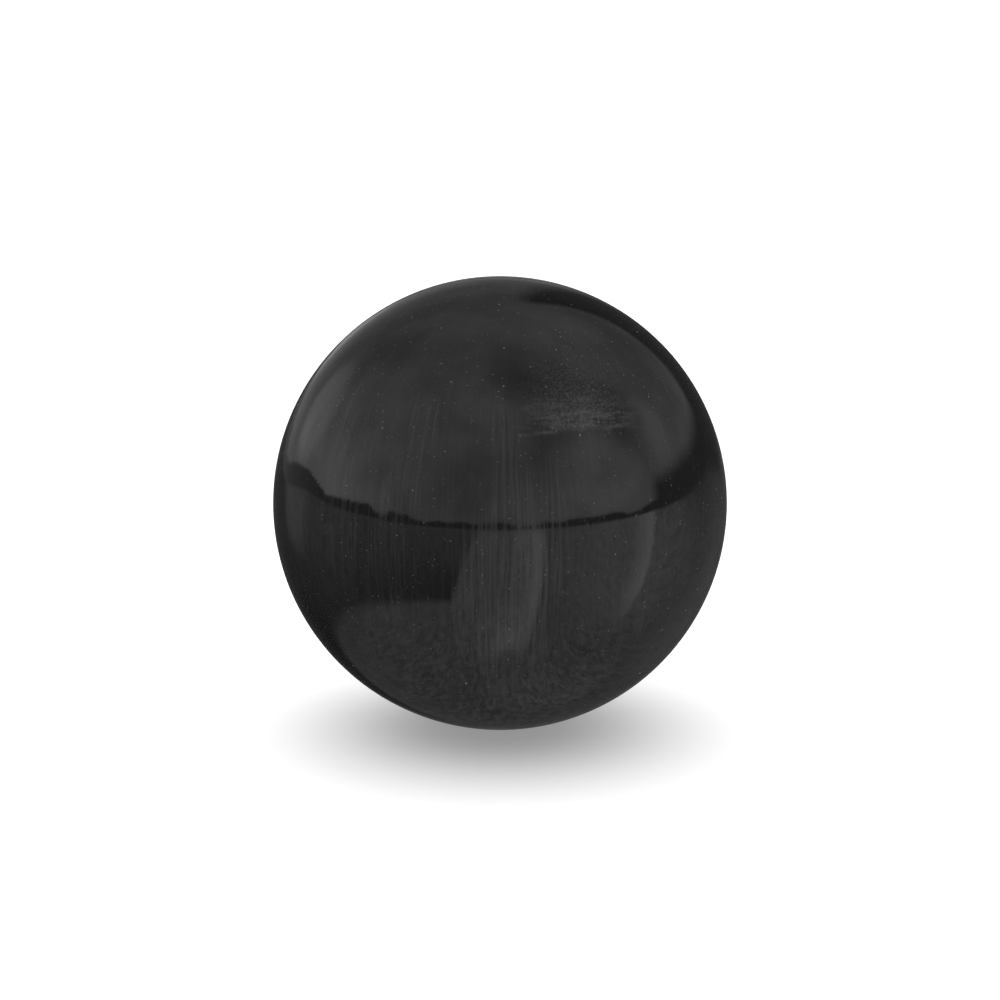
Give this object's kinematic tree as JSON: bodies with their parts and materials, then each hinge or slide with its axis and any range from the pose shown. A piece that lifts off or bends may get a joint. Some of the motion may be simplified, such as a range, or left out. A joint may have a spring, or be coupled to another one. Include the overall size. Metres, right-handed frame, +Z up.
{
  "type": "case opening friction ball",
  "caption": "Hollow ball of tacky black rubber with a recessed self-sealing needle valve, pressed on a screwed watch case back and twisted by hand to turn it.",
  "frame": {"origin": "centre of the ball", "axes": "+Y along the valve's axis, out of its mouth at the back of the ball; +Z up; the seam lies about the XZ plane"},
  "size_m": [0.065, 0.0649, 0.065],
  "materials": {
    "tacky_rubber": "glossy",
    "valve_rubber": "satin",
    "rubber_cement": "matte"
  },
  "bodies": {
    "root": {"front_half_shell": "tacky_rubber", "rear_half_shell": "tacky_rubber", "seam_cement": "rubber_cement", "valve_base": "valve_rubber", "valve_cement": "rubber_cement", "valve_core": "valve_rubber"}
  },
  "joints": []
}
